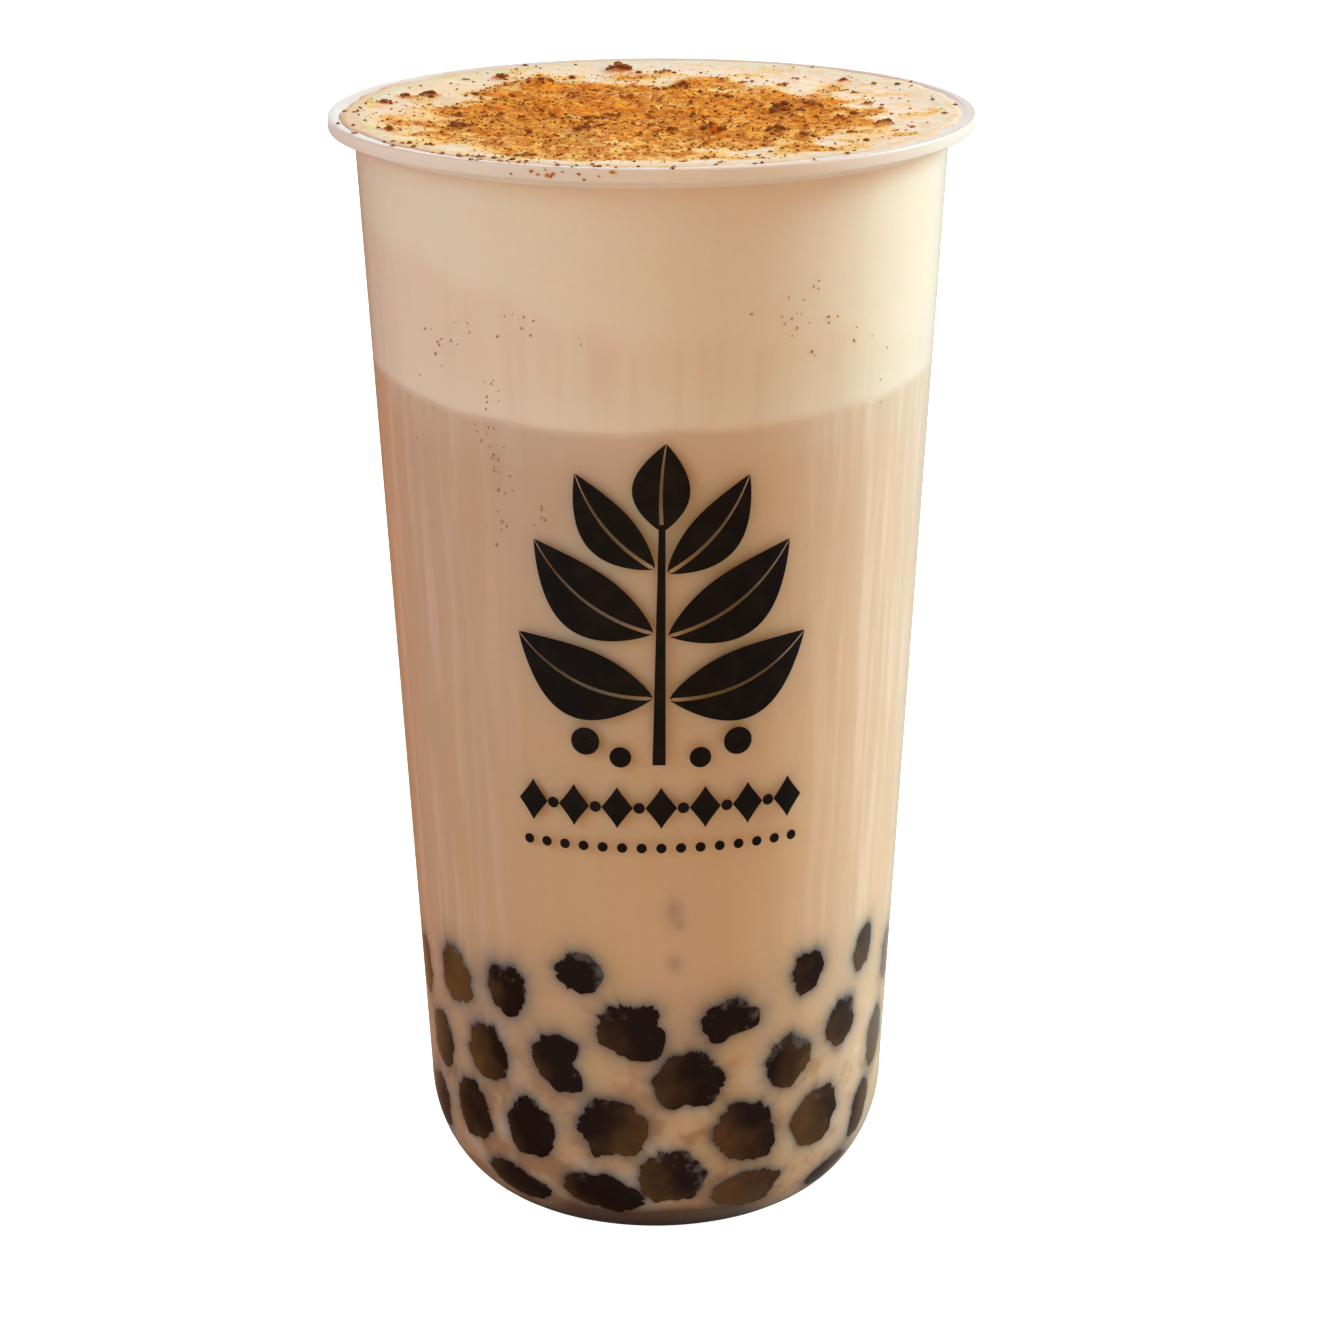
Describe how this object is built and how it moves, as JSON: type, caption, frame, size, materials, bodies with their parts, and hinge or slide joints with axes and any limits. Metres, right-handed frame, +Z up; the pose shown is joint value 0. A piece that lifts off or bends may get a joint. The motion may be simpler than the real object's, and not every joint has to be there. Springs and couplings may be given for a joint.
{
  "type": "bubble tea",
  "caption": "Milk tea with tapioca pearls and a cream foam dusted with brown powder, in a tall clear plastic cup with a round-shouldered foot.",
  "frame": {"origin": "middle of the underside of the cup's foot, on the surface it stands on", "axes": "+Z up along the cup's axis, -Y towards the printed front, +X to the right seen from the front"},
  "size_m": [0.09, 0.09, 0.1618],
  "materials": {
    "clear_plastic": "clear, smooth and glossy, with a faint warm haze",
    "tapioca": "wet, dark brown to black, slightly translucent",
    "milk_tea": "opaque milky tan liquid",
    "cream_foam": "soft matte cream with fine bubbles",
    "brown_powder": "dry orange-brown powder",
    "print_ink": "flat dark brown ink printed on the wall"
  },
  "bodies": {
    "root": {"cup": "clear_plastic", "pearls": "tapioca", "milk_tea": "milk_tea", "foam": "cream_foam"}
  },
  "joints": []
}
